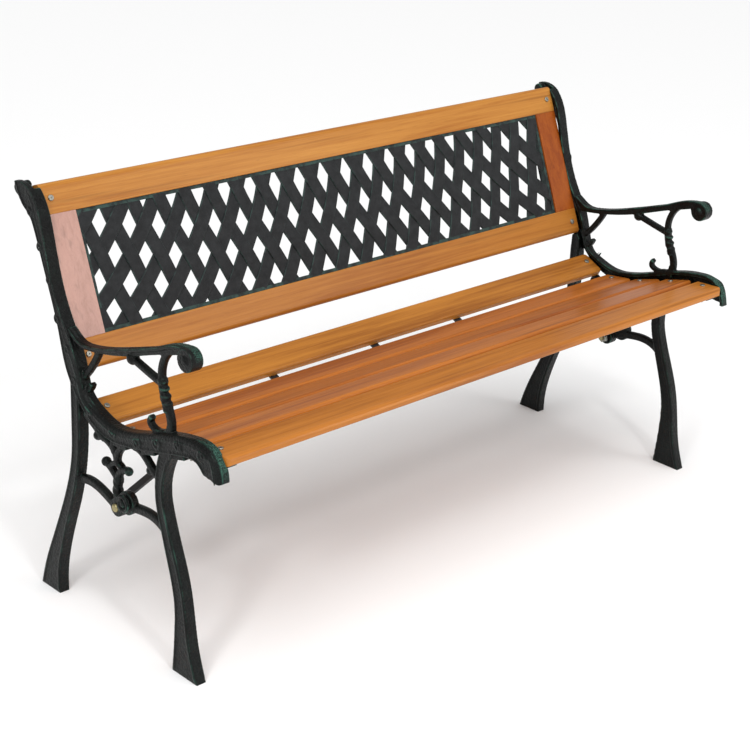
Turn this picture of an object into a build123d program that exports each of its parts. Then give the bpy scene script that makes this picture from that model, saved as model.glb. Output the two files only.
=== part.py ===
from build123d import *
import math
import os

# Garden bench: two cast-iron side frames carry five wooden seat slats and a
# framed back panel with a moulded lattice.  Everything is in millimetres.
# X runs along the bench, Y to the back, Z up.  Profile points are given as
# (y, z): y from the toe of the front foot, z from the ground.

# ---- overall sizes -------------------------------------------------------
bench_length = 1220.0
bench_depth = 498.0
bench_height = 686.0

# The profile of a side frame is laid out at these sizes and stretched to fit.
layout_depth = 498.0
layout_height = 686.0
layout_front = -54.0        # y of the front of the seat-rail nose

# ---- side frame casting --------------------------------------------------
web_thickness = 9.0         # decorated band of post and seat rail
flange_width = 21.0         # rib along its front and top edge
flange_thickness = 7.0
leg_set_back = 4.5          # outer face of a leg, in from the face of the band
leg_width = 18.0
rod_set_back = 7.5          # outer face of the scrolls and stretchers
rod_depth = 12.0
scroll_rod = 11.0           # seen width of a scroll rod
stretcher_rod = 15.0
arm_scroll_radius = 17.5
arm_scroll_core = 10.0
post_scroll_radius = 10.0
ball_radius = 9.0
collar_radius = 8.0
rosette_radius = 19.0
hub_boss_radius = 15.0
hub_boss_length = 26.0      # from the face of the band to its inner end

# ---- seat ------------------------------------------------------------------
slat_thickness = 14.5
slat_gap = 9.5
slat_edge_radius = 5.5
slat_nose_radius = 8.5      # front edge of the front slat
slat_lower_radius = 2.5
slat_corner_radius = 2.0    # corners seen from above
slat_round_corner = 11.0    # rear corners of slat 1, front corners of slat 5
slat_end_set_back = 19.0    # end of the wood, in from the face of the frame
rear_slat_width = 51.0
seat_bolt_shift = 4.0       # bolts stand this far behind the middle of a slat
lug_thickness = 8.0
lug_reach = 29.0            # tab under a slat, measured from the end of the wood
lug_width = 34.0
lug_root_depth = 24.0
bolt_set_back = 35.0        # bolt row, in from the face of the frame
wood_clearance = 2.0        # casting cut clear of the wood

# ---- back panel ------------------------------------------------------------
panel_set_back = 8.0        # front of the wood, behind the front of the flange
panel_thickness = 18.0
panel_height = 293.0
panel_rail_width = 49.0
panel_stile_width = 54.5
panel_edge_radius = 8.0     # outer front edges of the rails
panel_ease = 1.0            # every other long edge of the panel's wood
panel_lug_thickness = 6.0
panel_bolt_inset = 24.0     # bolt, in from the long edge of a rail
tenon_thickness = 7.0
tenon_width = 28.0
tenon_length = 18.0
tenon_clearance = 0.15

# ---- lattice ---------------------------------------------------------------
lattice_pitch = 55.9        # along the fan, at half height
lattice_fan_radius = 2084.0 # the rows bend round a point this far above the middle
lattice_lean_low = 1.077    # pitches a strip has moved at the foot of the opening
lattice_lean_high = -0.847  # and at its head
lattice_offset = -1.4
lattice_head = 50.0         # above this height the strips stand steeper
lattice_lift = 0.002        # pitches per millimetre
lattice_knee = -30.0        # below this height the outer strips splay
lattice_splay = 0.0003      # per pitch from the middle and millimetre
lattice_strip = 25.0
lattice_recess = 2.5
lattice_thickness = 5.0
lattice_border = 6.0
lattice_skirt_depth = 21.0
lattice_skirt_wall = 3.0
lattice_lip = 11.0
lattice_side_clearance = 0.5

# ---- straps, braces and fasteners -------------------------------------------
strap_width = 16.0
strap_thickness = 3.0
strap_places = {"left": -254.0, "centre": -22.0, "right": 187.0}
brace_width = 15.0
brace_thickness = 4.0
brace_far_end = 268.0       # middle of its seat tab, in from the face of the frame
brace_tab = 34.0
bolt_diameter = 6.0
bolt_clearance = 0.6
bolt_head_radius = 4.8
bolt_head_height = 2.4
bolt_socket = 3.2
washer_radius = 7.5
washer_thickness = 1.2
nut_width = 10.0
nut_height = 5.0
thread_clearance = 0.05
bolt_tail = 3.0
hub_bolt_diameter = 9.0
hub_head_radius = 7.0
hub_head_height = 4.5
hub_nut_width = 16.0
hub_nut_height = 7.0
screw_diameter = 4.0
screw_length = 10.0
screw_head_radius = 4.0
screw_head_height = 2.2

# ---- places worked out from the sizes above ---------------------------------
half_length = bench_length / 2
wood_half = half_length - slat_end_set_back
bolt_x = half_length - bolt_set_back
rod_mid = rod_set_back + rod_depth / 2
depth_ratio = bench_depth / layout_depth
height_ratio = bench_height / layout_height
middle_y = (layout_front + layout_depth / 2) * depth_ratio


def place(y, z):
    """A profile point at the bench's real depth and height."""
    return (y * depth_ratio, z * height_ratio)


def curve(*points):
    return Spline(*[place(y, z) for y, z in points])


def segment(first, last):
    return Line(place(*first), place(*last))


def slab(edges, start, width):
    """A plate of the closed outline `edges`, `start` in from the face of the frame."""
    return Pos(start, 0, 0) * extrude(Plane.YZ * make_face(edges), width)


def rod(points, thickness, start=rod_set_back, depth=rod_depth):
    """A cast bar with rounded corners that follows a smooth line."""
    middle = start + depth / 2
    path = Spline(*[(middle, *place(y, z)) for y, z in points])
    section = Plane(path @ 0, x_dir=(1, 0, 0), z_dir=path % 0)
    corner = min(thickness, depth) * 0.35
    return sweep(section * RectangleRounded(depth, thickness, corner), path=path)


def ball(y, z, radius):
    return Pos(rod_mid, *place(y, z)) * Sphere(radius)


def drum(y, z, radius, start, length):
    """A round boss with its axis along the bench."""
    spot = Plane((start, *place(y, z)), z_dir=(1, 0, 0))
    return extrude(spot * Circle(radius), length)


def collar(low, high, radius):
    """A round ring across a rod, between two points of its middle line."""
    start = Vector(rod_mid, *place(*low))
    end = Vector(rod_mid, *place(*high))
    spot = Plane(start, z_dir=end - start)
    return extrude(spot * Circle(radius), (end - start).length)


# ---- lines that the wood and the castings share ------------------------------
# Underside of the seat: slat 5 (front) to slat 1 (rear), one stretch each.
seat_line = [
    place(-54.0, 378.4),
    place(15.0, 375.2),
    place(85.5, 357.4),
    place(156.0, 337.7),
    place(226.5, 329.5),
    place(303.0, 367.4),
]
panel_foot = place(299.0, 412.0)     # front lower edge of the back panel
panel_head = place(407.0, 683.0)     # the same line at the top of the post
hub_layout = (204.0, 219.5)
hub = place(*hub_layout)
arm_scroll = (23.0, 522.0)           # eye of the scroll at the end of the arm


def seat_plane(number):
    """Plane of the underside of slat `number`: local x along the bench, y to the rear."""
    front = Vector(0, *seat_line[5 - number])
    rear = Vector(0, *seat_line[6 - number])
    normal = Vector(1, 0, 0).cross(rear - front)
    return Plane((front + rear) / 2, x_dir=(1, 0, 0), z_dir=normal)


def slat_width(number):
    if number == 1:
        return rear_slat_width
    front = Vector(*seat_line[5 - number])
    rear = Vector(*seat_line[6 - number])
    return (rear - front).length - slat_gap


def back_plane():
    """Front face of the back panel: local x along the bench, y up the panel, z forward."""
    foot = Vector(0, *panel_foot)
    rise = Vector(0, *panel_head) - foot
    return Plane(foot, x_dir=(1, 0, 0), z_dir=Vector(1, 0, 0).cross(rise))


panel = back_plane()
inner_half = wood_half - panel_stile_width
opening_height = panel_height - 2 * panel_rail_width


# ---- side frame ---------------------------------------------------------------
band_front = [
    (404, 680), (390, 665), (366, 600), (328, 497), (290, 430), (272, 385),
    (247, 370), (203, 358.5), (155, 365), (72, 392), (18, 404), (-28, 401.5),
    (-45, 387), (-54, 357),
]
band_rear = [
    (444, 684.5), (424, 652.5), (401, 633.5), (373, 569.5), (341, 488.5),
    (318, 415.5), (282, 367.5), (240, 341), (200, 334), (143, 342.5), (70, 361.5),
    (12, 375.5), (-6, 373), (-19, 361),
]


def band():
    """Post and seat rail in one sweep, with the rib along the front and top edge."""
    top = ThreePointArc(place(444, 684.5), place(420, 686), place(404, 680))
    outline = curve(*band_front) + curve(*band_rear) + top + segment((-19, 361), (-54, 357))
    web = slab(outline, 0, web_thickness)
    lip = Spline(*[(0, *place(y, z)) for y, z in band_front])
    section = Plane(lip @ 0, x_dir=(1, 0, 0), z_dir=lip % 0)
    strip = Rectangle(flange_width, flange_thickness, align=(Align.MIN, Align.MAX))
    return web + sweep(section * strip, path=lip)


def rear_leg():
    rear = curve((415, 0), (397, 56), (377, 102), (335, 202), (318, 267), (315, 336), (313, 420))
    front = curve((362, 0), (358, 57), (334, 138), (316, 188), (301, 245), (294, 300), (296, 400))
    foot = segment((415, 0), (362, 0))
    top = segment((313, 420), (296, 400))
    return slab(rear + front + foot + top, leg_set_back, leg_width)


def front_leg():
    rear = curve((61, 0), (56, 60), (57, 128), (83, 216), (100, 275), (98, 328), (84, 368))
    front = curve((0, 0), (19, 60), (35, 147), (62, 222), (81, 288), (72, 336), (44, 374))
    foot = segment((61, 0), (0, 0))
    top = segment((84, 368), (44, 374))
    return slab(rear + front + foot + top, leg_set_back, leg_width)


def arm():
    upper = curve((316, 483), (290, 468), (263, 468), (208, 481), (108, 514), (60, 534), (25, 540))
    lower = curve((300, 455), (257, 460), (207, 470), (153, 486), (94, 507), (45, 522), (25, 529))
    tip = segment((25, 540), (25, 529))
    root = segment((316, 483), (300, 455))
    rail = slab(upper + lower + tip + root, rod_set_back, rod_depth)
    scroll = drum(*arm_scroll, arm_scroll_radius, 0, flange_width)
    eye = drum(*arm_scroll, arm_scroll_core, -1, flange_width + 2)
    core = drum(*arm_scroll, arm_scroll_core - 3.0, 2, flange_width - 4)
    return rail + (scroll - eye) + core + arm_curl()


def arm_curl():
    """The inner turn that joins the scroll's rim to its eye."""
    y, z = arm_scroll
    return rod([(y, z - 4), (y - 5, z - 9), (y - 6, z - 13)], 6.0, 3, flange_width - 6)


def arm_front_support():
    """C-curve, ringed stem and hook under the front half of the arm."""
    bow = rod([(52, 527), (82, 508), (92, 482), (90, 462)], scroll_rod)
    stem = rod([(90, 464), (84, 440), (73, 418), (70, 402), (75, 384)], scroll_rod + 2)
    rings = collar((92, 470), (90, 463), collar_radius)
    rings += collar((86, 446), (84, 439), collar_radius)
    rings += collar((81, 433), (78, 427), collar_radius)
    hook = rod([(68, 384), (84, 386), (106, 378)], scroll_rod)
    hook += rod([(74, 402), (98, 384), (120, 392), (116, 402)], 8.0)
    strut = rod([(156, 478), (128, 471), (88, 462)], scroll_rod)
    return bow + stem + rings + hook + strut + ball(162, 479, ball_radius + 1)


def arm_rear_support():
    strut = rod([(246, 463), (265, 434), (292, 405)], scroll_rod)
    leaf = rod([(292, 415), (274, 392), (266, 404)], 8.0)
    return strut + leaf


def stretchers():
    """Two curved bars from the legs to the rosette and hub in the middle."""
    rear = rod([(298, 232), (263, 235), (232, 227), (204, 216)], stretcher_rod)
    front = rod([(84, 226), (118, 238), (150, 236), (184, 228), (204, 219)], stretcher_rod)
    rosette = drum(176, 238, rosette_radius, rod_set_back - 2, rod_depth)
    boss = drum(*hub_layout, hub_boss_radius, rod_set_back, hub_boss_length - rod_set_back)
    return rear + front + rosette + boss


def centre_scrolls():
    """Column over the hub, its fork and the arches under the seat rail."""
    column = rod([(204, 219), (206, 250), (203, 272)], scroll_rod + 3)
    rings = collar((205, 238), (206, 246), collar_radius)
    rings += collar((204, 262), (203, 269), collar_radius)
    left_fork = rod([(204, 266), (216, 276), (232, 285)], scroll_rod)
    right_fork = rod([(204, 268), (194, 284), (178, 290)], scroll_rod)
    balls = ball(235, 285, ball_radius - 1) + ball(177, 289, ball_radius - 2)
    crossbar = rod([(222, 281), (206, 293), (190, 286)], 9.0)
    rear_arch = rod([(206, 292), (212, 312), (232, 323), (254, 322)], scroll_rod)
    drop = ball(255, 322, ball_radius - 1)
    rear_link = rod([(236, 322), (258, 334), (284, 348)], scroll_rod)
    crown = rod([(206, 292), (198, 318), (176, 334), (150, 339)], scroll_rod)
    front_arch = rod([(160, 337), (138, 333), (118, 318), (88, 308)], scroll_rod)
    tie = rod([(212, 308), (214, 330), (216, 340)], scroll_rod)
    leaf = ball(122, 312, ball_radius - 2)
    return (column + rings + left_fork + right_fork + balls + crossbar + rear_arch
            + drop + rear_link + crown + front_arch + tie + leaf)


def lug(plane, width, thickness, length_in, root_height):
    """A tab under the wood with the block that carries it from the web."""
    tab_start = web_thickness - 3
    tab = Box(length_in - tab_start, width, thickness, align=(Align.MIN, Align.CENTER, Align.MAX))
    root = Box(slat_end_set_back - tab_start - 0.5, width, root_height + thickness,
               align=(Align.MIN, Align.CENTER, Align.MIN))
    both = Pos(tab_start, 0, 0) * tab + Pos(tab_start, 0, -thickness) * root
    return plane * both


def wood_room(plane, width, thickness, direction):
    """Space kept clear around the end of a piece of wood, inside the casting."""
    size = Vector(2 * flange_width, width + 2 * wood_clearance, thickness + wood_clearance)
    block = Box(size.X, size.Y, size.Z, align=(Align.MIN, Align.CENTER, direction))
    return plane * (Pos(slat_end_set_back - 0.5, 0, 0) * block)


def bore(plane, x, y, diameter):
    """A clearance hole through whatever lies near `plane` at (x, y)."""
    return plane * (Pos(x, y, 0) * Cylinder(diameter / 2, 120))


def panel_bolt_heights():
    return [panel_bolt_inset, panel_height - panel_bolt_inset]


def side_frame():
    """The left casting, its outer face at x = 0 and its inside towards +x."""
    iron = band() + rear_leg() + front_leg()
    iron += arm() + arm_front_support() + arm_rear_support()
    iron += stretchers() + centre_scrolls()
    iron += drum(434, 674.5, post_scroll_radius, 0, flange_width)
    for number in range(1, 6):
        seat = seat_plane(number)
        iron -= wood_room(seat, slat_width(number), slat_thickness, Align.MIN)
        reach = slat_end_set_back + lug_reach
        iron += lug(seat, min(lug_width, slat_width(number)), lug_thickness, reach, lug_root_depth / 2)
        iron -= bore(seat, bolt_set_back, seat_bolt_shift, bolt_diameter + bolt_clearance)
    behind = panel.offset(-panel_thickness)
    middle = Plane(panel.origin + panel.y_dir * panel_height / 2, x_dir=(1, 0, 0), z_dir=panel.z_dir)
    iron -= wood_room(middle, panel_height, panel_thickness, Align.MAX)
    for height in panel_bolt_heights():
        spot = Plane(behind.origin + behind.y_dir * height, x_dir=(1, 0, 0), z_dir=behind.z_dir)
        reach = slat_end_set_back + lug_reach
        iron += lug(spot, lug_width, panel_lug_thickness, reach, panel_thickness / 2)
        iron -= bore(spot, bolt_set_back, 0, bolt_diameter + bolt_clearance)
    iron -= drum(*hub_layout, (hub_bolt_diameter + bolt_clearance) / 2, -1, hub_boss_length + 2)
    return iron


# ---- wood -----------------------------------------------------------------------
def board_section(width, thickness, front_radius):
    """Board section: underside at y = 0, all corners rounded; the rear is at +x."""
    box = Rectangle(width, thickness, align=(Align.CENTER, Align.MIN))
    for low, rear, radius in ((True, True, slat_lower_radius), (True, False, slat_lower_radius),
                              (False, True, slat_edge_radius), (False, False, front_radius)):
        row = box.vertices().sort_by(Axis.Y)
        corner = Vector(width / 2 if rear else -width / 2, 0 if low else thickness)
        box = fillet(row.sort_by_distance(corner)[0], radius)
    return box


def board_plan(number):
    """Outline of a slat seen from above: local x along the bench, y to the rear."""
    width = slat_width(number)
    plan = Rectangle(2 * wood_half, width)
    for rear in (False, True):
        rounded = (rear and number == 1) or (not rear and number == 5)
        radius = slat_round_corner if rounded else slat_corner_radius
        for end in (-wood_half, wood_half):
            corner = Vector(end, width / 2 if rear else -width / 2)
            plan = fillet(plan.vertices().sort_by_distance(corner)[0], radius)
    return plan


def seat_slat(number):
    seat = seat_plane(number)
    front_radius = slat_nose_radius if number == 5 else slat_edge_radius
    section = board_section(slat_width(number), slat_thickness, front_radius)
    end = Plane(seat.origin - Vector(wood_half, 0, 0), x_dir=seat.y_dir, z_dir=(1, 0, 0))
    board = extrude(end * section, 2 * wood_half)
    board = board & (seat * extrude(board_plan(number), 2 * slat_thickness))
    for x in (-bolt_x, bolt_x):
        board -= bore(seat, x, seat_bolt_shift, bolt_diameter + bolt_clearance)
    for x in strap_places.values():
        board -= screw_hole(seat, x, 0)
    if number == 2:
        for x in brace_screw_places():
            board -= screw_hole(seat, x, hub[0] - seat.origin.Y)
    return board


def panel_block(x_low, x_high, low, high, front, depth):
    """A block given by its edges on the panel's front face; `front` is how far behind it."""
    size = (x_high - x_low, high - low, depth)
    block = Box(*size, align=(Align.MIN, Align.MIN, Align.MAX))
    return panel * (Pos(x_low, low, -front) * block)


def tenon(sign, low, high, play):
    mid = sign * (wood_half - panel_stile_width / 2)
    half = tenon_width / 2 + play
    front = (panel_thickness - tenon_thickness) / 2 - play
    return panel_block(mid - half, mid + half, low, high, front, tenon_thickness + 2 * play)


def back_rail(low, high, tenon_low, tenon_high, bolt_height, round_edge):
    rail = panel_block(-wood_half, wood_half, low, high, 0, panel_thickness)
    long_edges = rail.edges().filter_by(Axis.X)
    long_edges = long_edges.sort_by_distance(panel.origin + panel.y_dir * round_edge)
    rail = fillet(long_edges[0], panel_edge_radius)
    eased = rail.edges().filter_by(Axis.X).sort_by_distance(panel.origin + panel.y_dir * round_edge)
    rail = fillet(eased[2:], panel_ease)
    for sign in (-1, 1):
        rail -= tenon(sign, tenon_low, tenon_high, tenon_clearance)
        rail -= bore(panel, sign * bolt_x, bolt_height, bolt_diameter + bolt_clearance)
    for spot, x in lattice_screw_places():
        rail -= screw_hole(spot, x, 0)
    return rail


def back_top_rail():
    low = panel_height - panel_rail_width
    reach = low + tenon_length + tenon_clearance
    return back_rail(low, panel_height, low, reach, panel_height - panel_bolt_inset, panel_height)


def back_bottom_rail():
    high = panel_rail_width
    reach = high - tenon_length - tenon_clearance
    return back_rail(0, high, reach, high, panel_bolt_inset, 0)


def back_stile(sign):
    low = panel_rail_width
    high = panel_height - panel_rail_width
    edges = sorted([sign * wood_half, sign * inner_half])
    stile = panel_block(edges[0], edges[1], low, high, 0, panel_thickness)
    return stile + tenon(sign, low - tenon_length, high + tenon_length, 0)


# ---- lattice ---------------------------------------------------------------------
def fan_point(turn, height):
    """Point at `turn` pitches from the middle and `height` above the middle line."""
    radius = lattice_fan_radius - height
    angle = turn * lattice_pitch / lattice_fan_radius
    x = lattice_offset + radius * math.sin(angle)
    return Vector(x, panel_height / 2 + lattice_fan_radius - radius * math.cos(angle))


def strip_turn(step, height):
    """Pitches from the middle, at `height`, of strip `step` of the right-leaning family.

    A strip is straight but for its head, which stands a little steeper, and for the
    foot of the strips that lean outward, which splay below `lattice_knee`.
    """
    half = opening_height / 2
    share = (height + half) / opening_height
    turn = step + 0.5 + lattice_lean_low + (lattice_lean_high - lattice_lean_low) * share
    above = max(height - lattice_head, 0)
    below = max(lattice_knee - height, 0)
    return turn + lattice_lift * above + lattice_splay * max(turn, 0) * below


def lattice_strips(sign):
    """One family of strips, as faces on the panel's front plane, longer than the opening."""
    half = opening_height / 2
    count = int(inner_half / lattice_pitch) + 3
    strips = []
    for step in range(-count, count):
        heights = [half * level for level in (-1.9, -0.3, 0.5, 1.5)]
        line = [fan_point(sign * strip_turn(step, height), height) for height in heights]
        along = (line[-1] - line[0]).normalized()
        across = Vector(along.Y, -along.X) * (lattice_strip / 2)
        left = [point - across for point in line]
        right = [point + across for point in reversed(line)]
        strips.append(make_face(Polyline(*left, *right, close=True)))
    return strips


def lattice_panel():
    """Moulded lattice with a border, a skirt inside the opening and a lip behind the wood."""
    half = inner_half - lattice_side_clearance
    low = panel_rail_width
    high = panel_height - panel_rail_width
    start = lattice_recess
    window = panel_block(-half, half, low, high, start, lattice_thickness)
    strips = []
    for sign in (-1, 1):
        strips += [extrude(panel * face, -30) for face in lattice_strips(sign)]
    mesh = Part() + strips
    mesh = mesh & window
    inner = lattice_border
    rim = window - panel_block(-half + inner, half - inner, low + inner, high - inner, 0, 40)
    wall = lattice_skirt_wall
    depth = lattice_skirt_depth - start
    skirt = panel_block(-half, half, low, high, start, depth)
    skirt -= panel_block(-half + wall, half - wall, low + wall, high - wall, 0, 60)
    lip_low = low - lattice_lip
    lip_high = high + lattice_lip
    lip_half = inner_half + lattice_lip
    lip = panel_block(-lip_half, lip_half, lip_low, lip_high, panel_thickness, lattice_skirt_wall)
    lip -= panel_block(-half + wall, half - wall, low + wall, high - wall, 0, 60)
    body = mesh + rim + skirt + lip
    for spot, x in lattice_screw_places():
        body -= bore_short(spot, x, screw_diameter + bolt_clearance)
    return body


def bore_short(plane, x, diameter):
    return plane * (Pos(x, 0, 0) * Cylinder(diameter / 2, 16))


def lattice_screw_places():
    """Screws through the lip into the rails, from behind: (plane, x) pairs."""
    behind = panel.offset(-panel_thickness)
    low = panel_rail_width - lattice_lip / 2
    high = panel_height - low
    places = []
    for height in (low, high):
        spot = Plane(behind.origin + behind.y_dir * height, x_dir=(1, 0, 0), z_dir=behind.z_dir)
        for step in (-1.5, -0.5, 0.5, 1.5):
            places.append((spot, step * inner_half / 2))
    return places


# ---- straps and braces --------------------------------------------------------------
def strap(x):
    """Flat bar bent to lie against the underside of every slat."""
    first = seat_plane(5)
    last = seat_plane(1)
    points = [Vector(0, *p) for p in seat_line]
    points[0] = first.origin - first.y_dir * slat_width(5) * 0.36
    points[-1] = last.origin + last.y_dir * slat_width(1) * 0.36
    upper = [(p.Y, p.Z) for p in points]
    path = Polyline(*upper)
    lower = offset_line(upper, strap_thickness)
    outline = path + Polyline(*lower) + Line(upper[0], lower[0]) + Line(upper[-1], lower[-1])
    bar = Pos(x - strap_width / 2, 0, 0) * extrude(Plane.YZ * make_face(outline), strap_width)
    for number in range(1, 6):
        bar -= bore(seat_plane(number), x, 0, screw_diameter + bolt_clearance)
    return bar


def offset_line(points, distance):
    """The same broken line, `distance` below, with its corners mitred."""
    normals = []
    for (y0, z0), (y1, z1) in zip(points, points[1:]):
        length = math.hypot(y1 - y0, z1 - z0)
        normals.append(((z1 - z0) / length, -(y1 - y0) / length))
    result = []
    for index, (y, z) in enumerate(points):
        before = normals[max(index - 1, 0)]
        after = normals[min(index, len(normals) - 1)]
        scale = distance / (1 + before[0] * after[0] + before[1] * after[1])
        result.append((y + (before[0] + after[0]) * scale, z + (before[1] + after[1]) * scale))
    return result


def brace_screw_places():
    return [sign * (half_length - brace_far_end) for sign in (-1, 1)]


def brace():
    """Left brace: a tab on the hub, a rising flat bar and a tab under slat 2."""
    seat = seat_plane(2)
    foot_x = -half_length + hub_boss_length
    head_x = -half_length + brace_far_end
    top_z = seat.origin.Z - (hub[0] - seat.origin.Y) * seat.z_dir.Y / seat.z_dir.Z
    line = [
        (foot_x + brace_thickness, hub[1] - brace_width / 2 - 1),
        (foot_x + brace_thickness, hub[1] + brace_width / 2 + 6),
        (head_x - brace_tab / 2, top_z - brace_thickness),
        (head_x + brace_tab / 2, top_z - brace_thickness),
    ]
    upper = offset_line(line, -brace_thickness)
    side = Polyline(*line) + Polyline(*upper) + Line(line[0], upper[0]) + Line(line[-1], upper[-1])
    bar = Pos(0, hub[0] + brace_width / 2, 0) * extrude(Plane.XZ * make_face(side), brace_width)
    bar -= seat * Box(bench_length, 3 * brace_width, 20, align=(Align.CENTER, Align.CENTER, Align.MIN))
    bar -= Plane((foot_x, *hub), z_dir=(1, 0, 0)) * Cylinder((hub_bolt_diameter + bolt_clearance) / 2, 40)
    return bar - bore(seat, head_x, hub[0] - seat.origin.Y, screw_diameter + bolt_clearance)


# ---- fasteners --------------------------------------------------------------------------
def screw_hole(plane, x, y):
    """Pilot hole that a screw fills; it goes into the wood from `plane`."""
    hole = Cylinder(screw_diameter / 2, screw_length, align=(Align.CENTER, Align.CENTER, Align.MIN))
    return plane * (Pos(x, y, 0) * hole)


def screw(plane, x, y, under):
    """Round-head screw driven along the plane's normal through a part `under` thick."""
    shank = Cylinder(screw_diameter / 2, screw_length + under,
                     align=(Align.CENTER, Align.CENTER, Align.MIN))
    head = Cylinder(screw_head_radius, screw_head_height, align=(Align.CENTER, Align.CENTER, Align.MAX))
    slot = Box(2 * screw_head_radius, 1.0, 1.0, align=(Align.CENTER, Align.CENTER, Align.MIN))
    head -= Pos(0, 0, -screw_head_height) * slot
    head = fillet(head.faces().sort_by(Axis.Z)[0].edges().filter_by(GeomType.CIRCLE), 0.8)
    return plane * (Pos(x, y, -under) * (shank + head))


def bolt(plane, x, y, top, bottom):
    """Socket-head bolt: head on the face at `top`, tail below the face at `bottom`."""
    length = top - bottom + washer_thickness + nut_height + bolt_tail
    shank = Cylinder(bolt_diameter / 2, length, align=(Align.CENTER, Align.CENTER, Align.MAX))
    head = Cylinder(bolt_head_radius, bolt_head_height, align=(Align.CENTER, Align.CENTER, Align.MIN))
    head = fillet(head.edges().group_by(Axis.Z)[-1], bolt_head_height * 0.5)
    socket = extrude(RegularPolygon(bolt_socket / 2, 6), bolt_head_height)
    head -= Pos(0, 0, bolt_head_height * 0.4) * socket
    return plane * (Pos(x, y, top) * (shank + head))


def washer(plane, x, y, top):
    ring = Circle(washer_radius) - Circle((bolt_diameter + bolt_clearance) / 2)
    return plane * (Pos(x, y, top - washer_thickness) * extrude(ring, washer_thickness))


def nut(plane, x, y, top):
    face = RegularPolygon(nut_width / math.sqrt(3), 6) - Circle(bolt_diameter / 2 + thread_clearance)
    return plane * (Pos(x, y, top - washer_thickness - nut_height) * extrude(face, nut_height))


def seat_bolts(x):
    bottom = -lug_thickness
    return [bolt(seat_plane(n), x, seat_bolt_shift, slat_thickness, bottom) for n in range(1, 6)]


def seat_nuts(x):
    return [nut(seat_plane(n), x, seat_bolt_shift, -lug_thickness) for n in range(1, 6)]


def seat_washers(x):
    return [washer(seat_plane(n), x, seat_bolt_shift, -lug_thickness) for n in range(1, 6)]


def back_depth():
    return -panel_thickness - panel_lug_thickness


def back_bolts(x):
    return [bolt(panel, x, height, 0, back_depth()) for height in panel_bolt_heights()]


def back_nuts(x):
    return [nut(panel, x, height, back_depth()) for height in panel_bolt_heights()]


def back_washers(x):
    return [washer(panel, x, height, back_depth()) for height in panel_bolt_heights()]


def hub_bolt():
    """Dome-head bolt through the left hub and the foot of its brace."""
    spot = Plane((-half_length + rod_set_back, *hub), z_dir=(-1, 0, 0))
    length = hub_boss_length - rod_set_back + brace_thickness + hub_nut_height + bolt_tail
    shank = Cylinder(hub_bolt_diameter / 2, length, align=(Align.CENTER, Align.CENTER, Align.MAX))
    head = Cylinder(hub_head_radius, hub_head_height, align=(Align.CENTER, Align.CENTER, Align.MIN))
    head = fillet(head.edges().group_by(Axis.Z)[-1], hub_head_height * 0.7)
    return spot * (shank + head)


def hub_nut():
    spot = Plane((-half_length + hub_boss_length + brace_thickness, *hub), z_dir=(1, 0, 0))
    hole = Circle(hub_bolt_diameter / 2 + thread_clearance)
    return spot * extrude(RegularPolygon(hub_nut_width / math.sqrt(3), 6) - hole, hub_nut_height)


def strap_screws():
    screws = []
    for x in strap_places.values():
        for number in range(1, 6):
            screws.append(screw(seat_plane(number), x, 0, strap_thickness))
    return screws


def brace_screws():
    seat = seat_plane(2)
    along = hub[0] - seat.origin.Y
    return [screw(seat, x, along, brace_thickness) for x in brace_screw_places()]


def lattice_screws():
    return [screw(spot, x, 0, lattice_skirt_wall) for spot, x in lattice_screw_places()]


# ---- write every piece --------------------------------------------------------------------
def save(name, shape):
    """Centre the bench on its box and write one piece."""
    pieces = shape if isinstance(shape, list) else [shape]
    moved = [Pos(0, -middle_y, 0) * piece for piece in pieces]
    body = moved[0] if len(moved) == 1 else Compound(children=moved)
    export_step(body, f"parts/{name}.step")


def mirrored(shape):
    if isinstance(shape, list):
        return [mirror(piece, Plane.YZ) for piece in shape]
    return mirror(shape, Plane.YZ)


os.makedirs("parts", exist_ok=True)
left_frame = Pos(-half_length, 0, 0) * side_frame()
save("left_side_frame", left_frame)
save("right_side_frame", mirrored(left_frame))
for number in range(1, 6):
    save(f"seat_slat_{number}", seat_slat(number))
save("back_top_rail", back_top_rail())
save("back_bottom_rail", back_bottom_rail())
save("back_stile_left", back_stile(-1))
save("back_stile_right", back_stile(1))
save("lattice_panel", lattice_panel())
for name, x in strap_places.items():
    save(f"seat_strap_{name}", strap(x))
save("brace_left", brace())
save("brace_right", mirrored(brace()))
for side, x in (("left", -bolt_x), ("right", bolt_x)):
    save(f"seat_bolts_{side}", seat_bolts(x))
    save(f"seat_washers_{side}", seat_washers(x))
    save(f"seat_nuts_{side}", seat_nuts(x))
    save(f"back_bolts_{side}", back_bolts(x))
    save(f"back_washers_{side}", back_washers(x))
    save(f"back_nuts_{side}", back_nuts(x))
save("hub_bolt_left", hub_bolt())
save("hub_nut_left", hub_nut())
save("hub_bolt_right", mirrored(hub_bolt()))
save("hub_nut_right", mirrored(hub_nut()))
save("strap_screws", strap_screws())
save("brace_screws", brace_screws())
save("lattice_screws", lattice_screws())
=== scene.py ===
import math
import random

import bmesh
import bpy
import numpy as np
from mathutils import Matrix, Vector


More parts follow.
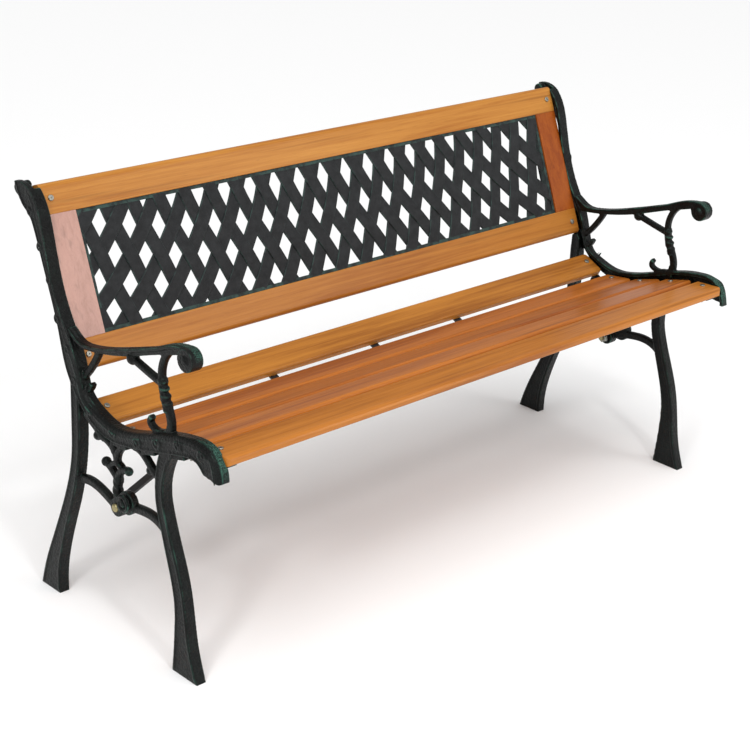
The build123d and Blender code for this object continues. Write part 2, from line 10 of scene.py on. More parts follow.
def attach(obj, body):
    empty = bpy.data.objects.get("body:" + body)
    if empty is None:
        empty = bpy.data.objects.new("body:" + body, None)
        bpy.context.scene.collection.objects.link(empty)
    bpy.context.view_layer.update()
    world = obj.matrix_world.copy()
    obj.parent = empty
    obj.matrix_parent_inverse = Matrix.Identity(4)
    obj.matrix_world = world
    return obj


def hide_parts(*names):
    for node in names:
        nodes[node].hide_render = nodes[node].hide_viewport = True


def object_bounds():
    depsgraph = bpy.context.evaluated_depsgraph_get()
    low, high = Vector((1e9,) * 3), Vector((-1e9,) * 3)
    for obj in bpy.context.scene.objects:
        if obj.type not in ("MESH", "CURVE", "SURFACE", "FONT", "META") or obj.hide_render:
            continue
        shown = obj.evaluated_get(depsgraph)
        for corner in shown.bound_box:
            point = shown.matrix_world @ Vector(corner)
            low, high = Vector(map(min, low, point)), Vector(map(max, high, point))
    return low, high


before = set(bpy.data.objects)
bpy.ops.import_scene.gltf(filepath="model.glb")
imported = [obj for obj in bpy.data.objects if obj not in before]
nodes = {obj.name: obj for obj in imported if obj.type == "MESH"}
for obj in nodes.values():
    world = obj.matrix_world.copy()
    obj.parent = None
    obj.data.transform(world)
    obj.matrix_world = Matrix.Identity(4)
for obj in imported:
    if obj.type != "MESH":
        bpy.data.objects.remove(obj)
cad_low, cad_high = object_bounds()

# Garden bench.  Metres, in the frame of the CAD: X along the bench, Y to the
# back, Z up.  The profile of a side frame is given in millimetres as (y, z):
# y from the toe of the front foot, z from the ground, as in the CAD.

MM = 0.001
FOOT_TOE = 195.0                      # toe of the front foot, in front of the middle
OUTER_FACE = cad_low.x                # outer face of the left casting
VOXEL = 0.00125                       # grain of the castings' mesh


def on_frame(inset, y, z):
    """A point of the left casting, `inset` millimetres in from its outer face."""
    return Vector((OUTER_FACE + inset * MM, (y - FOOT_TOE) * MM, z * MM))


# ---- mesh helpers -----------------------------------------------------------
def smooth_line(points, step=3.0):
    """Points about `step` apart on the smooth curve through `points`."""
    pts = [np.array(p, float) for p in points]
    if len(pts) == 2:
        count = max(2, int(np.linalg.norm(pts[1] - pts[0]) / step))
        return [pts[0] + (pts[1] - pts[0]) * i / count for i in range(count + 1)]
    ends = [2 * pts[0] - pts[1]] + pts + [2 * pts[-1] - pts[-2]]
    line = []
    for a, b, c, d in zip(ends, ends[1:], ends[2:], ends[3:]):
        count = max(2, int(np.linalg.norm(c - b) / step))
        for i in range(count):
            t = i / count
            line.append(0.5 * (2 * b + (c - a) * t + (2 * a - 5 * b + 4 * c - d) * t * t
                               + (3 * b - a - 3 * c + d) * t ** 3))
    line.append(pts[-1])
    return line


def grid_faces(bm, rings):
    """Joins rings of equal length into a closed tube with flat ends."""
    made = [[bm.verts.new(p) for p in ring] for ring in rings]
    size = len(made[0])
    for low, high in zip(made, made[1:]):
        for i in range(size):
            j = (i + 1) % size
            bm.faces.new((low[i], low[j], high[j], high[i]))
    bm.faces.new(list(reversed(made[0])))
    bm.faces.new(made[-1])


def tube(bm, points, radius, inset, squash=1.0, lobes=0, twist=0.0, sides=12):
    """A rod along profile points.  `radius` is a number or a function of 0..1 along it.

    squash stretches the section along the bench; lobes and twist make a rope.
    """
    line = smooth_line(points)
    rings = []
    for index, (y, z) in enumerate(line):
        before = line[max(index - 1, 0)]
        after = line[min(index + 1, len(line) - 1)]
        along = np.array(after) - np.array(before)
        along = along / np.linalg.norm(along)
        part = index / (len(line) - 1)
        size = radius(part) if callable(radius) else radius
        ring = []
        for k in range(sides):
            angle = 2 * math.pi * k / sides
            rim = size * (1 + 0.16 * math.cos(lobes * angle + twist * part)) if lobes else size
            side = rim * math.cos(angle)
            ring.append(on_frame(inset + rim * math.sin(angle) * squash,
                                 y - along[1] * side, z + along[0] * side))
        rings.append(ring)
    grid_faces(bm, rings)


def ribbon(bm, points, insets, thickness):
    """A flat strip on edge: `insets` are its two sides, the line its upper face."""
    line = smooth_line(points)
    rings = []
    low, high = insets
    ease = thickness / 3
    section = [(low, ease), (low + ease, 0), (high - ease, 0), (high, ease),
               (high, thickness - ease), (high - ease, thickness), (low + ease, thickness),
               (low, thickness - ease)]
    for index, (y, z) in enumerate(line):
        along = np.array(line[min(index + 1, len(line) - 1)]) - np.array(line[max(index - 1, 0)])
        along = along / np.linalg.norm(along)
        rings.append([on_frame(inset, y - along[1] * depth, z + along[0] * depth)
                      for inset, depth in section])
    grid_faces(bm, rings)


def dome(bm, y, z, radius, inset, height=None, across=1.0, turn=0.0):
    """A rounded boss; `height` is how far it stands out along the bench."""
    height = radius if height is None else height
    made = bmesh.ops.create_icosphere(bm, subdivisions=3, radius=1.0)["verts"]
    rotate = Matrix.Rotation(turn, 3, "X")
    centre = on_frame(inset, y, z)
    for v in made:
        p = Vector((v.co.x * height, v.co.y * radius * across, v.co.z * radius))
        v.co = rotate @ p * MM + centre


def piece_from(bm, name, material, shade=True):
    """A new object from bm, dressed and riding on the root body."""
    mesh = bpy.data.meshes.new(name)
    bm.to_mesh(mesh)
    bm.free()
    piece = bpy.data.objects.new(name, mesh)
    bpy.context.scene.collection.objects.link(piece)
    finish_piece(piece, material, shade)
    return piece


def finish_piece(piece, material, shade=True):
    piece.data.materials.clear()
    piece.data.materials.append(material)
    for poly in piece.data.polygons:
        poly.use_smooth = shade
    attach(piece, "root")


# ---- material helpers ---------------------------------------------------------
class Shader:
    """A node material with short calls for the nodes used here."""

    def __init__(self, name):
        self.material = bpy.data.materials.new(name)
        self.material.use_nodes = True
        self.tree = self.material.node_tree
        self.main = self.tree.nodes["Principled BSDF"]

    def node(self, kind, **settings):
        made = self.tree.nodes.new(kind)
        for key, value in settings.items():
            setattr(made, key, value)
        return made

    def link(self, source, target):
        self.tree.links.new(source, target)

    def place(self, scale=(1, 1, 1), offset=(0, 0, 0), turn=(0, 0, 0)):
        coord = self.node("ShaderNodeTexCoord")
        mapping = self.node("ShaderNodeMapping")
        mapping.inputs["Scale"].default_value = scale
        mapping.inputs["Location"].default_value = offset
        mapping.inputs["Rotation"].default_value = turn
        self.link(coord.outputs["Object"], mapping.inputs["Vector"])
        return mapping.outputs["Vector"]

    def noise(self, vector, scale, detail=4.0, roughness=0.55, distortion=0.0):
        made = self.node("ShaderNodeTexNoise")
        made.inputs["Scale"].default_value = scale
        made.inputs["Detail"].default_value = detail
        made.inputs["Roughness"].default_value = roughness
        made.inputs["Distortion"].default_value = distortion
        self.link(vector, made.inputs["Vector"])
        return made.outputs["Fac"]

    def ramp(self, value, stops):
        made = self.node("ShaderNodeValToRGB")
        elements = made.color_ramp.elements
        while len(elements) < len(stops):
            elements.new(0.5)
        for element, (position, colour) in zip(elements, stops):
            element.position = position
            element.color = (*colour, 1.0) if len(colour) == 3 else colour
        self.link(value, made.inputs["Fac"])
        return made.outputs["Color"]

    def mix(self, factor, first, second, blend="MIX"):
        made = self.node("ShaderNodeMix", data_type="RGBA", blend_type=blend)
        for socket, value in ((0, factor), (6, first), (7, second)):
            if isinstance(value, bpy.types.NodeSocket):
                self.link(value, made.inputs[socket])
            elif socket == 0:
                made.inputs[socket].default_value = value
            else:
                made.inputs[socket].default_value = (*value, 1.0)
        return made.outputs[2]

    def math(self, operation, first, second=0.5):
        made = self.node("ShaderNodeMath", operation=operation)
        for socket, value in ((0, first), (1, second)):
            if isinstance(value, bpy.types.NodeSocket):
                self.link(value, made.inputs[socket])
            else:
                made.inputs[socket].default_value = value
        return made.outputs[0]

    def bump(self, height, strength, distance):
        made = self.node("ShaderNodeBump")
        made.inputs["Strength"].default_value = strength
        made.inputs["Distance"].default_value = distance
        self.link(height, made.inputs["Height"])
        return made.outputs["Normal"]


def grey(value):
    return (value, value, value)


def cast_iron():
    """Near-black paint over a sand-cast surface, verdigris rubbed on what stands out."""
    s = Shader("cast_iron")
    place = s.place()
    grain = s.noise(place, 620, 3, 0.65)
    lumps = s.noise(place, 210, 2, 0.5)
    blotch = s.noise(place, 38, 4, 0.65)
    relief = s.node("ShaderNodeAttribute", attribute_name="relief").outputs["Fac"]
    painted_glint_mask = s.node("ShaderNodeAttribute", attribute_name="painted_glint_mask").outputs["Fac"]
    patches = s.ramp(blotch, [(0.44, grey(0.08)), (0.64, grey(0.8))])
    specks = s.ramp(grain, [(0.42, grey(0.0)), (0.62, grey(1.0))])
    rubbed = s.math("MULTIPLY", relief, patches)
    # Painted glints: light verdigris-toned specks on the upward-facing nose and scroll, standing
    # in for light caught by the rough cast surface.
    painted_glints = s.math("MULTIPLY", s.math("MULTIPLY", painted_glint_mask, specks), 0.8)
    haze = s.math("MULTIPLY", s.math("MULTIPLY", patches, specks), 0.05)
    worn = s.math("MAXIMUM", s.math("MAXIMUM", rubbed, painted_glints), haze)
    black = s.ramp(blotch, [(0.3, (0.0015, 0.0017, 0.0016)), (0.7, (0.0045, 0.0050, 0.0048))])
    s.link(s.mix(worn, black, (0.055, 0.165, 0.120)), s.main.inputs["Base Color"])
    s.link(s.ramp(grain, [(0.3, grey(0.20)), (0.7, grey(0.46))]), s.main.inputs["Roughness"])
    height = s.math("ADD", s.math("MULTIPLY", grain, 0.7), s.math("MULTIPLY", lumps, 1.5))
    s.link(s.bump(height, 0.9, 0.0010), s.main.inputs["Normal"])
    s.main.inputs["Specular IOR Level"].default_value = 0.16
    return s.material


def wood(name, shift, light, dark, gloss, upright=False):
    """Varnished softwood, its grain along the bench or up a stile."""
    s = Shader(name)

    def along_grain(length, across):
        scale = (across, across, length) if upright else (length, across, across)
        return s.place(scale, shift)

    broad = s.noise(along_grain(1.3, 21.0), 1.0, 3, 0.5, 0.5)
    rings = s.noise(along_grain(2.6, 120.0), 1.0, 4, 0.62, 0.5)
    fibre = s.noise(along_grain(16.0, 620.0), 1.0, 3, 0.6)
    tone = s.math("ADD", s.math("MULTIPLY", broad, 0.42), s.math("MULTIPLY", rings, 0.42))
    tone = s.math("ADD", tone, s.math("MULTIPLY", fibre, 0.16))
    middle = tuple(a * 0.62 + b * 0.38 for a, b in zip(light, dark))
    colour = s.ramp(tone, [(0.40, light), (0.50, middle), (0.60, dark)])
    streak = s.noise(along_grain(2.0, 75.0), 1.0, 2, 0.5)
    streak = s.ramp(streak, [(0.62, grey(0.0)), (0.72, grey(0.5))])
    colour = s.mix(streak, colour, tuple(c * 0.55 for c in dark))
    pores = s.noise(along_grain(40.0, 900.0), 1.0, 2, 0.5)
    pores = s.ramp(pores, [(0.62, grey(0.0)), (0.75, grey(0.35))])
    colour = s.mix(pores, colour, tuple(c * 0.6 for c in dark))
    s.link(colour, s.main.inputs["Base Color"])
    s.link(s.ramp(fibre, [(0.2, grey(0.34)), (0.8, grey(0.48))]), s.main.inputs["Roughness"])
    s.main.inputs["Specular IOR Level"].default_value = 0.2
    s.main.inputs["Coat Weight"].default_value = gloss
    s.main.inputs["Coat Roughness"].default_value = 0.2
    s.link(s.bump(s.math("ADD", fibre, rings), 0.18, 0.0004), s.main.inputs["Normal"])
    return s.material


def moulded_plastic():
    """Dark grained plastic with green rubbed along the edges of the strips."""
    s = Shader("lattice_plastic")
    place = s.place()
    grain = s.noise(place, 800, 3, 0.65)
    blotch = s.noise(place, 70, 4, 0.6)
    edge = s.node("ShaderNodeAttribute", attribute_name="relief").outputs["Fac"]
    rubbed = s.math("MULTIPLY", edge, s.ramp(blotch, [(0.40, grey(0.15)), (0.60, grey(0.9))]))
    base = s.ramp(blotch, [(0.3, (0.010, 0.0108, 0.0118)), (0.7, (0.021, 0.0225, 0.024))])
    s.link(s.mix(rubbed, base, (0.040, 0.085, 0.072)), s.main.inputs["Base Color"])
    s.link(s.ramp(grain, [(0.3, grey(0.42)), (0.7, grey(0.66))]), s.main.inputs["Roughness"])
    s.main.inputs["Specular IOR Level"].default_value = 0.22
    s.link(s.bump(grain, 0.8, 0.0006), s.main.inputs["Normal"])
    return s.material


def metal(name, colour, roughness, metallic=1.0):
    s = Shader(name)
    place = s.place()
    smear = s.noise(place, 300, 3)
    dull = tuple(c * 0.6 for c in colour)
    s.link(s.ramp(smear, [(0.3, dull), (0.7, colour)]), s.main.inputs["Base Color"])
    low, high = roughness
    s.link(s.ramp(smear, [(0.3, grey(low)), (0.7, grey(high))]), s.main.inputs["Roughness"])
    s.main.inputs["Metallic"].default_value = metallic
    s.link(s.bump(smear, 0.2, 0.0002), s.main.inputs["Normal"])
    return s.material


# ---- side frames --------------------------------------------------------------
ROSETTES = [(258, 367), (199, 350), (138, 356), (90, 372), (38, 388), (-17, 390)]
POST_SCROLLS = [(299, 402), (315, 447), (338, 490), (359, 548), (380, 594), (404, 646)]
BAND_FRONT = [
    (404, 680), (390, 665), (366, 600), (328, 497), (290, 430), (272, 385),
    (247, 370), (203, 358.5), (155, 365), (72, 392), (18, 404), (-28, 401.5),
    (-45, 387), (-54, 357),
]
BAND_REAR = [
    (442, 683), (424, 652.5), (401, 633.5), (373, 569.5), (341, 488.5),
    (318, 415.5), (282, 367.5), (240, 341), (200, 334), (143, 342.5), (70, 361.5),
    (12, 375.5), (-6, 373), (-18, 363),
]
FRONT_LEG_FRONT = [(2, 6), (19, 60), (35, 147), (62, 222), (81, 288), (72, 336), (56, 360)]
FRONT_LEG_REAR = [(60, 6), (56, 60), (57, 128), (83, 216), (100, 275), (98, 328), (92, 350)]
REAR_LEG_REAR = [(413, 6), (397, 56), (377, 102), (335, 202), (318, 267), (315, 336), (315, 404)]
REAR_LEG_FRONT = [(362, 6), (358, 57), (334, 138), (316, 188), (301, 245), (294, 300), (294, 376)]
ROLL = 8.0                            # radius of the rolled edge
ROLL_END = 450.0                      # height where it has faded out, up the post
ROLL_FADE = 40.0                      # length of that fade
BATCH = 20000                         # points handled at once
SMOOTH_PASSES = 2                     # smoothing of the castings after the remesh
ARM_EYE = (23, 522)
ARM_UPPER = [(316, 481), (290, 467), (263, 467), (208, 480), (108, 513), (60, 532), (26, 538)]


def shifted(points, distance):
    """The line moved sideways by `distance`, to its right as it runs."""
    line = smooth_line(points, 8.0)
    moved = []
    for index, (y, z) in enumerate(line):
        before = line[max(index - 1, 0)]
        after = line[min(index + 1, len(line) - 1)]
        along = np.array(after) - np.array(before)
        along = along / np.linalg.norm(along)
        moved.append((y + along[1] * distance, z - along[0] * distance))
    return moved


def rosette(bm, y, z, size, turn):
    """A coiled flower: a rolled rim, a raised eye and two leaves that trail off."""
    dome(bm, y, z, 3.4 * size, -0.4, 2.6)
    spiral(bm, y, z, 9.0 * size, 1.15, turn, 0.0, 2.1 * size, 0.62)
    for k in range(4):
        angle = turn + 0.8 + math.pi * k / 2
        dome(bm, y + 5.6 * size * math.cos(angle), z + 5.6 * size * math.sin(angle),
             1.7 * size, 0.2, 1.6)
    for side in (-1, 1):
        angle = turn + side * 1.3
        start = (y + 9 * size * math.cos(angle), z + 9 * size * math.sin(angle))
        end = (y + 12 * size * math.cos(angle + 0.4), z + 9.5 * size * math.sin(angle + 0.4))
        tube(bm, [start, end], lambda t: 2.4 * (1 - t) + 0.8, 0.2, 0.8)


def spiral(bm, y, z, radius, turns, start, inset, thickness, taper=0.35):
    """A rod coiled inwards from `radius` to `taper` of it."""
    points = []
    steps = int(abs(turns) * 14)
    for k in range(steps + 1):
        part = k / steps
        angle = start + 2 * math.pi * turns * part
        reach = radius * (1 - (1 - taper) * part)
        points.append((y + reach * math.cos(angle), z + reach * math.sin(angle)))
    tube(bm, points, thickness, inset, 0.9, sides=8)


def add_relief(bm):
    """What stands proud of the plain casting."""
    tube(bm, shifted(BAND_FRONT, -9.5), 1.3, 0.2, 0.9, sides=8)
    tube(bm, shifted(BAND_REAR, 2.4), 1.7, 0.2, 1.0, sides=8)
    for k, (y, z) in enumerate(ROSETTES):
        rosette(bm, y, z, 1.0, 0.9 * k)
    for k, (y, z) in enumerate(POST_SCROLLS):
        way = 1 if k % 2 else -1
        spiral(bm, y, z, 8.0, way * 1.0, 0.6 * k, 0.0, 1.7, 0.35)
    for line, side in ((FRONT_LEG_FRONT, 3.5), (FRONT_LEG_REAR, -3.5),
                       (REAR_LEG_REAR, -3.5), (REAR_LEG_FRONT, 3.5)):
        for inset in (5.0, 22.0):
            tube(bm, shifted(line, side), 2.3, inset, 0.9, sides=8)
    ribbon(bm, ARM_UPPER, (2.5, 20.0), 4.5)
    for inset in (3.6, 11.2, 18.8):
        tube(bm, ARM_UPPER, 1.3, inset, 1.0, sides=8)
    for inset, side in ((2.5, -1), (18.5, 1)):
        spiral(bm, *ARM_EYE, 12.5, -1.1, 1.4, inset, 3.2, 0.45)
        dome(bm, *ARM_EYE, 7.5, inset + 1.5 * side, 4.5)
    rope_rings(bm)


def rope_rings(bm):
    """Slanted rings on the arm support and rope turns over the hub."""
    for k in range(5):
        dome(bm, 91 - 3.4 * k, 467 - 10.6 * k, 4.2, 13.5, 8.6, 2.1, 0.12)
    tube(bm, [(205, 236), (206, 252), (203, 272)], lambda t: 7.0 + math.sin(math.pi * t), 13.5,
         lobes=2, twist=14.0, sides=24)
    rosette(bm, 176, 238, 1.5, 0.3)


def relief_attribute(mesh):
    """Two marks for the paint, each 0 to 1.

    "relief" is how far a point stands out of its surroundings. The second mark
    is for a painted highlight: it marks the upper side of the seat rail's nose and
    of the arm's scroll, where light specks are painted on as glints.
    """
    count = len(mesh.vertices)
    co = np.zeros(count * 3)
    mesh.vertices.foreach_get("co", co)
    co = co.reshape(-1, 3)
    normal = np.zeros(count * 3)
    mesh.vertices.foreach_get("normal", normal)
    normal = normal.reshape(-1, 3)
    edges = np.zeros(len(mesh.edges) * 2, int)
    mesh.edges.foreach_get("vertices", edges)
    edges = edges.reshape(-1, 2)
    degree = np.bincount(edges.ravel(), minlength=count)[:, None]
    spread = co.copy()
    for _ in range(4):
        total = np.zeros_like(spread)
        np.add.at(total, edges[:, 0], spread[edges[:, 1]])
        np.add.at(total, edges[:, 1], spread[edges[:, 0]])
        spread = total / np.maximum(degree, 1)
    out = ((co - spread) * normal).sum(1)
    value = np.clip((out - 0.00026) / 0.00030, 0, 1)
    layer = mesh.attributes.new("relief", "FLOAT", "POINT")
    layer.data.foreach_set("value", value.astype(np.float32))
    y = co[:, 1] / MM + FOOT_TOE
    z = co[:, 2] / MM
    nose = np.clip((10 - y) / 40, 0, 1) * (z > 350) * (z < 420)
    scroll = np.clip((110 - y) / 60, 0, 1) * (z > 500) * (z < 550) * 0.7
    inner = np.clip(((co[:, 0] - OUTER_FACE) / MM - 6) / 3, 0, 1)
    # Only upward-facing points get the painted glints.
    upward = np.clip((normal[:, 2] - 0.25) * 2.0 - normal[:, 1] * 0.6, 0, 1)
    painted_glint_mask = (nose + scroll) * inner * upward
    layer = mesh.attributes.new("painted_glint_mask", "FLOAT", "POINT")
    layer.data.foreach_set("value", np.clip(painted_glint_mask, 0, 1).astype(np.float32))


def roll_outer_edge(mesh):
    """Rounds the outer top corner of the seat rail, fading out where the post begins."""
    count = len(mesh.vertices)
    co = np.zeros(count * 3)
    mesh.vertices.foreach_get("co", co)
    co = co.reshape(-1, 3)
    inset = (co[:, 0] - OUTER_FACE) / MM
    profile = np.stack([co[:, 1] / MM + FOOT_TOE, co[:, 2] / MM], 1)
    line = np.array(smooth_line(BAND_FRONT, 1.5))
    along = np.gradient(line, axis=0)
    along /= np.linalg.norm(along, axis=1)[:, None]
    inward = np.stack([-along[:, 1], along[:, 0]], 1)
    for start in range(0, count, BATCH):
        rows = np.arange(start, min(start + BATCH, count))
        rows = rows[inset[rows] < ROLL]
        if not len(rows):
            continue
        away = profile[rows][:, None, :] - line[None, :, :]
        nearest = (away ** 2).sum(2).argmin(1)
        depth = (away[np.arange(len(rows)), nearest] * inward[nearest]).sum(1)
        aside = np.abs((away[np.arange(len(rows)), nearest] * along[nearest]).sum(1))
        u = ROLL - inset[rows]
        v = ROLL - depth
        reach = np.hypot(u, v)
        corner = (depth > -3) & (depth < ROLL) & (v > 0) & (reach > ROLL) & (aside < 3)
        fade = np.clip((ROLL_END - profile[rows, 1]) / ROLL_FADE, 0, 1)
        pull = np.where(corner, 1 - ROLL / reach, 0) * fade
        inset[rows] += u * pull
        profile[rows] += inward[nearest] * (v * pull)[:, None]
    co[:, 0] = inset * MM + OUTER_FACE
    co[:, 1] = (profile[:, 0] - FOOT_TOE) * MM
    co[:, 2] = profile[:, 1] * MM
    mesh.vertices.foreach_set("co", co.ravel())
    mesh.update()


def remeshed(piece, voxel, smooth):
    """Melts casting and relief into one skin, softened `smooth` times."""
    remesh = piece.modifiers.new("remesh", "REMESH")
    remesh.mode = "VOXEL"
    remesh.voxel_size = voxel
    soften = piece.modifiers.new("soften", "SMOOTH")
    soften.factor = 0.5
    soften.iterations = smooth
    graph = bpy.context.evaluated_depsgraph_get()
    mesh = bpy.data.meshes.new_from_object(piece.evaluated_get(graph))
    piece.modifiers.clear()
    piece.data = mesh
    return piece


def side_frames(material):
    """The left casting with its relief, and its mirror image on the right."""
    bm = bmesh.new()
    bm.from_mesh(nodes["left_side_frame"].data)
    bmesh.ops.remove_doubles(bm, verts=bm.verts, dist=1e-6)
    add_relief(bm)
    left = piece_from(bm, "left_casting", material)
    remeshed(left, VOXEL, SMOOTH_PASSES)
    roll_outer_edge(left.data)
    relief_attribute(left.data)
    finish_piece(left, material)
    mesh = left.data.copy()
    mesh.transform(Matrix.Diagonal((-1, 1, 1, 1)))
    mesh.flip_normals()
    right = bpy.data.objects.new("right_casting", mesh)
    bpy.context.scene.collection.objects.link(right)
    finish_piece(right, material)
    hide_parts("left_side_frame")
    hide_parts("right_side_frame")


# ---- lattice ----------------------------------------------------------------------
PANEL_FOOT = Vector((0, 299.0 - FOOT_TOE, 412.0)) * MM
PANEL_HEAD = Vector((0, 407.0 - FOOT_TOE, 683.0)) * MM
PANEL_UP = (PANEL_HEAD - PANEL_FOOT).normalized()
PANEL_OUT = Vector((1, 0, 0)).cross(PANEL_UP)
PANEL_HEIGHT = 293.0
RAIL = 49.0
OPENING_HALF = 536.5
PITCH = 55.9                          # between strips, at the middle height
FAN_RADIUS = 2084.0                   # the strips fan out from a far point above
LEAN_LOW = 1.077                      # sideways lean at the foot, in pitches
LEAN_HIGH = -0.847                    # the same at the head
HEAD = 50.0                           # above this height the strips stand steeper
LIFT = 0.002
KNEE = -30.0                          # below this height the outer strips splay
SPLAY = 0.0003
OFFSET = -1.4                         # middle of the fan, along the bench
STRIP = 25.0                          # width
STRIP_THICKNESS = 3.6
WEAVE = 1.3                           # over and under
RECESS = 2.5                          # face of the rim, behind the front of the wood
RIM = 6.0
SKIRT = 3.0
LIP = 11.0                            # behind the wood, past the opening
SKIRT_DEPTH = -21.0
LIP_FRONT = -18.0
TRIM = 2.0                            # strips end this far inside the rim


def on_panel(x, up, out):
    """Millimetres along, up and out of the front face of the back panel."""
    return PANEL_FOOT + Vector((x * MM, 0, 0)) + PANEL_UP * (up * MM) + PANEL_OUT * (out * MM)


def fan_point(turn, height):
    """The place on the panel `turn` pitches along the fan, `height` above its middle."""
    radius = FAN_RADIUS - height
    angle = turn * PITCH / FAN_RADIUS
    return np.array([OFFSET + radius * math.sin(angle),
                     PANEL_HEIGHT / 2 + FAN_RADIUS - radius * math.cos(angle)])


def strip_turn(step, height):
    """Pitches from the middle, and lean, of a right-leaning strip at a height."""
    half = (PANEL_HEIGHT - 2 * RAIL) / 2
    lean = LEAN_LOW + (LEAN_HIGH - LEAN_LOW) * (height + half) / (2 * half)
    lean += LIFT * max(height - HEAD, 0)
    turn = step + 0.5 + lean
    return turn + SPLAY * max(turn, 0) * max(KNEE - height, 0), lean


def lattice_strip(bm, step, sign):
    """One woven strip, from well below the opening to well above it."""
    section = [(-1.0, -1.0), (-1.0, 0.35), (-0.95, 0.85), (-0.86, 1.0), (-0.78, 0.84), (0.0, 0.88),
               (0.78, 0.84), (0.86, 1.0), (0.95, 0.85), (1.0, 0.35), (1.0, -1.0)]
    heights = [-185 + 5.5 * k for k in range(60)]
    points = [fan_point(sign * strip_turn(step, height)[0], height) for height in heights]
    rings = []
    for k, point in enumerate(points):
        along = points[min(k + 1, len(points) - 1)] - points[max(k - 1, 0)]
        along = along / np.linalg.norm(along)
        across = np.array([along[1], -along[0]])
        lean = strip_turn(step, heights[k])[1]
        wave = sign * math.cos(math.pi * (2 * lean + 1)) * WEAVE
        ring = []
        for side, level in section:
            spot = point + across * (side * STRIP / 2)
            out = -RECESS - 2.4 + wave + level * STRIP_THICKNESS / 2
            ring.append(on_panel(spot[0], spot[1], out))
        rings.append(ring)
    grid_faces(bm, rings)


def bar(bm, x, up, out):
    """A straight moulding given by its three ranges on the panel."""
    corners = [on_panel(x[i], up[j], out[k]) for k in (0, 1) for j in (0, 1) for i in (0, 1)]
    v = [bm.verts.new(c) for c in corners]
    for quad in ((0, 2, 3, 1), (4, 5, 7, 6), (0, 1, 5, 4),
                 (2, 6, 7, 3), (0, 4, 6, 2), (1, 3, 7, 5)):
        bm.faces.new([v[i] for i in quad])


def border(bm, edges, width, upright_out, level_out):
    """Four bars inside the outline given by its half length, foot and head."""
    half, low, high = edges
    for x in ((-half, -half + width), (half - width, half)):
        bar(bm, x, (low, high), upright_out)
    for up in ((low, low + width), (high - width, high)):
        bar(bm, (-half, half), up, level_out)


def lattice(material):
    """Woven strips, trimmed to the opening, with rim, skirt and rear lip."""
    half = OPENING_HALF - 0.5
    low, high = RAIL, PANEL_HEIGHT - RAIL
    bm = bmesh.new()
    count = int(OPENING_HALF / PITCH) + 4
    for sign in (1, -1):
        for step in range(-count, count):
            lattice_strip(bm, step, sign)
    middle = (low + high) / 2
    for x, up, direction in ((-half + TRIM, middle, (-1, 0)), (half - TRIM, middle, (1, 0)),
                             (0, low + TRIM, (0, -1)), (0, high - TRIM, (0, 1))):
        normal = Vector((direction[0], 0, 0)) + PANEL_UP * direction[1]
        geometry = bm.verts[:] + bm.edges[:] + bm.faces[:]
        bmesh.ops.bisect_plane(bm, geom=geometry, plane_co=on_panel(x, up, 0), plane_no=normal,
                               clear_outer=True)
    border(bm, (half, low, high), RIM, (-RECESS - 5, -RECESS), (-RECESS - 5, -RECESS + 0.2))
    border(bm, (half, low, high), SKIRT, (SKIRT_DEPTH, -RECESS - 1), (SKIRT_DEPTH, -RECESS - 1))
    border(bm, (half + LIP, low - LIP, high + LIP), LIP + SKIRT,
           (SKIRT_DEPTH, LIP_FRONT), (SKIRT_DEPTH - 0.1, LIP_FRONT))
    piece = piece_from(bm, "woven_lattice", material, shade=False)
    edge_attribute(piece.data)
    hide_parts("lattice_panel")


def edge_attribute(mesh):
    """1 on the raised edges of the strips, 0 elsewhere."""
    up = np.array(PANEL_OUT)
    count = len(mesh.vertices)
    normal = np.zeros(count * 3)
    mesh.vertices.foreach_get("normal", normal)
    tilt = normal.reshape(-1, 3) @ up
    value = np.clip((0.96 - tilt) / 0.3, 0, 1) * (tilt > 0.2) * 0.8
    layer = mesh.attributes.new("relief", "FLOAT", "POINT")
    layer.data.foreach_set("value", value.astype(np.float32))


# ---- scene -----------------------------------------------------------------------
# Light and dark tone of each board and the weight of its varnish.
WOOD_TONES = {
    "back_top_rail": ((0.52, 0.225, 0.040), (0.36, 0.125, 0.016), 0.12),
    "back_bottom_rail": ((0.48, 0.190, 0.028), (0.33, 0.108, 0.012), 0.12),
    # The left stile's pale pink tones are a painted sheen: the reflection on its varnish is put
    # into its base colour.
    "back_stile_left": ((0.43, 0.215, 0.160), (0.33, 0.155, 0.110), 0.9),
    "back_stile_right": ((0.34, 0.082, 0.008), (0.24, 0.048, 0.005), 0.03),
    "seat_slat_1": ((0.47, 0.185, 0.026), (0.26, 0.085, 0.010), 0.15),
    "seat_slat_2": ((0.48, 0.150, 0.020), (0.27, 0.068, 0.009), 0.2),
    "seat_slat_3": ((0.46, 0.142, 0.020), (0.26, 0.066, 0.009), 0.2),
    "seat_slat_4": ((0.49, 0.158, 0.022), (0.28, 0.072, 0.010), 0.2),
    "seat_slat_5": ((0.49, 0.175, 0.024), (0.29, 0.088, 0.011), 0.2),
}


def dress_wood():
    rng = random.Random(7)
    for name, (light, dark, gloss) in WOOD_TONES.items():
        shift = tuple(rng.uniform(-5, 5) for _ in range(3))
        material = wood(f"varnished_{name}", shift, light, dark, gloss, "stile" in name)
        nodes[name].data.materials.clear()
        nodes[name].data.materials.append(material)


def dress_metal():
    zinc = metal("zinc", (0.42, 0.41, 0.36), (0.32, 0.5))
    brass = metal("brass", (0.42, 0.36, 0.19), (0.32, 0.48))
    black = metal("black_steel", (0.022, 0.022, 0.024), (0.35, 0.5), 0.0)
    for name, node in nodes.items():
        if name.startswith(("seat_strap", "brace_left", "brace_right")):
            chosen = black
        elif name.startswith("hub_bolt"):
            chosen = brass
        elif "bolts" in name or "nut" in name or "washer" in name or "screws" in name:
            chosen = zinc
        else:
            continue
        node.data.materials.clear()
        node.data.materials.append(chosen)


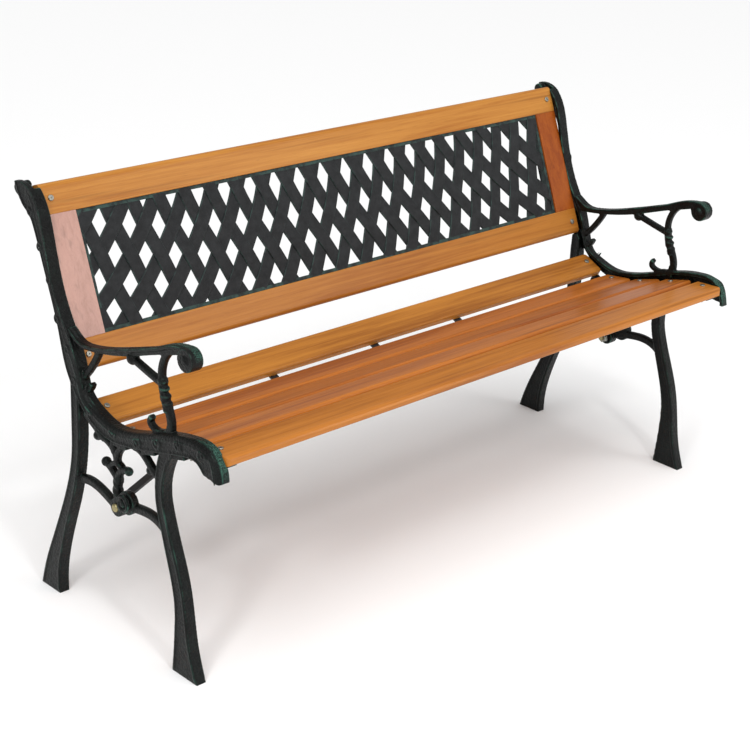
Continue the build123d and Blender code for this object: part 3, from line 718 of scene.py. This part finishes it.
def studio():
    world = bpy.data.worlds.new("studio")
    bpy.context.scene.world = world
    world.use_nodes = True
    background = world.node_tree.nodes["Background"]
    background.inputs["Color"].default_value = (1, 1, 1, 1)
    background.inputs["Strength"].default_value = 0.5
    bm = bmesh.new()
    bmesh.ops.create_grid(bm, x_segments=1, y_segments=1, size=40)
    mesh = bpy.data.meshes.new("floor")
    bm.to_mesh(mesh)
    bm.free()
    floor = bpy.data.objects.new("floor", mesh)
    bpy.context.scene.collection.objects.link(floor)
    s = Shader("studio_floor")
    s.main.inputs["Base Color"].default_value = (0.93, 0.93, 0.93, 1)
    s.main.inputs["Roughness"].default_value = 0.9
    s.main.inputs["Specular IOR Level"].default_value = 0.1
    mesh.materials.append(s.material)
    lamp("front_box", (2.1, -3.1, 1.5), 1.5, 26)
    lamp("left_box", (-3.4, -1.4, 2.6), 0.6, 32)
    lamp("glint", (-1.2, -3.0, 3.2), 0.35, 26)
    sun("sky_light", (-0.25, -0.35, 1.0), 1.75, 50)


def sun(name, direction, strength, spread):
    data = bpy.data.lights.new(name, "SUN")
    data.energy = strength
    data.angle = math.radians(spread)
    sun_object = bpy.data.objects.new(name, data)
    sun_object.rotation_euler = Vector(direction).to_track_quat("Z", "Y").to_euler()
    bpy.context.scene.collection.objects.link(sun_object)


def lamp(name, position, size, power):
    data = bpy.data.lights.new(name, "AREA")
    data.size = size
    data.energy = power
    lamp_object = bpy.data.objects.new(name, data)
    lamp_object.location = position
    aim = Vector((0, 0, 0.45)) - Vector(position)
    lamp_object.rotation_euler = aim.to_track_quat("-Z", "Y").to_euler()
    bpy.context.scene.collection.objects.link(lamp_object)


def camera():
    azimuth = math.radians(-44.67)
    elevation = math.radians(22.43)
    roll = math.radians(2.56)
    back = Vector((math.sin(azimuth) * math.cos(elevation),
                   -math.cos(azimuth) * math.cos(elevation), math.sin(elevation)))
    level = Vector((math.cos(azimuth), math.sin(azimuth), 0))
    up = back.cross(level)
    right = level * math.cos(roll) + up * math.sin(roll)
    top = up * math.cos(roll) - level * math.sin(roll)
    data = bpy.data.cameras.new("camera")
    data.lens = 81.24
    data.sensor_width = 36
    view = bpy.data.objects.new("camera", data)
    turn = Matrix((right, top, back)).transposed()
    view.matrix_world = Matrix.Translation((-1.9573, -1.9142, 1.4168)) @ turn.to_4x4()
    bpy.context.scene.collection.objects.link(view)
    bpy.context.scene.camera = view
    bpy.context.scene.view_settings.view_transform = "Standard"


camera()
side_frames(cast_iron())
lattice(moulded_plastic())
dress_wood()
dress_metal()
studio()
